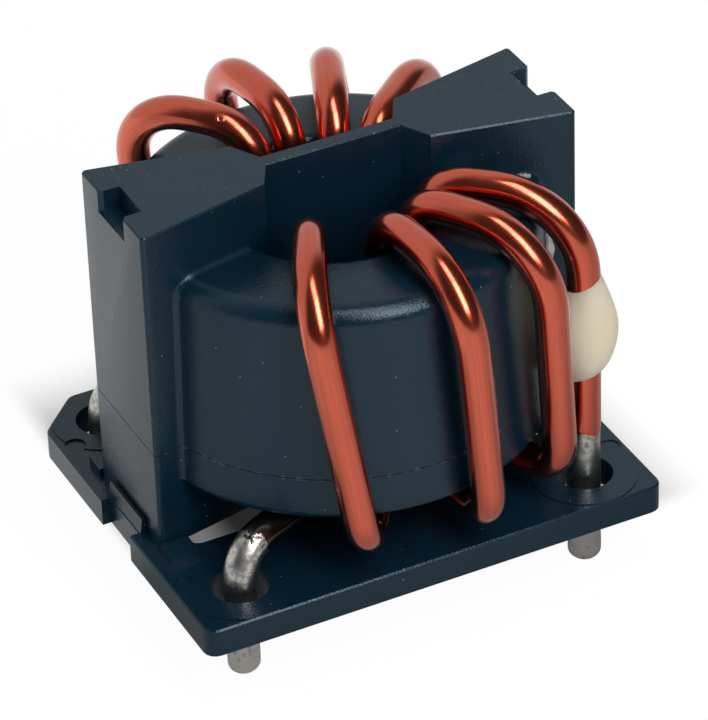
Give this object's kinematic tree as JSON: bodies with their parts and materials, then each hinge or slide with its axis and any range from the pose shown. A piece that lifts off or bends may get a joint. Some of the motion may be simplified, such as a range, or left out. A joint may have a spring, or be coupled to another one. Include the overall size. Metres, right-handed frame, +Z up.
{
  "type": "common mode choke inductor",
  "caption": "Ring-core inductor in a black moulded case: copper wire wound on each side of a dividing wall, on a base plate with wire pins for a circuit board.",
  "frame": {"origin": "centre of the pin pattern, on the underside of the base plate", "axes": "+X along the dividing wall, +Y from the winding with the glue to the other one, +Z up out of the board"},
  "size_m": [0.0452, 0.0455, 0.0417],
  "materials": {
    "base_plastic": "satin black moulded plastic",
    "case_plastic": "satin black moulded plastic",
    "ferrite": "sintered ferrite, matt dark grey",
    "enamelled_copper": "glossy orange-red enamel on copper, solder-tinned ends",
    "hot_melt_glue": "smooth cream hot-melt glue"
  },
  "bodies": {
    "root": {"base_plate": "base_plastic", "core_tray": "case_plastic", "core_cover": "case_plastic", "ring_core": "ferrite", "front_winding": "enamelled_copper", "back_winding": "enamelled_copper", "glue_dab": "hot_melt_glue"}
  },
  "joints": []
}
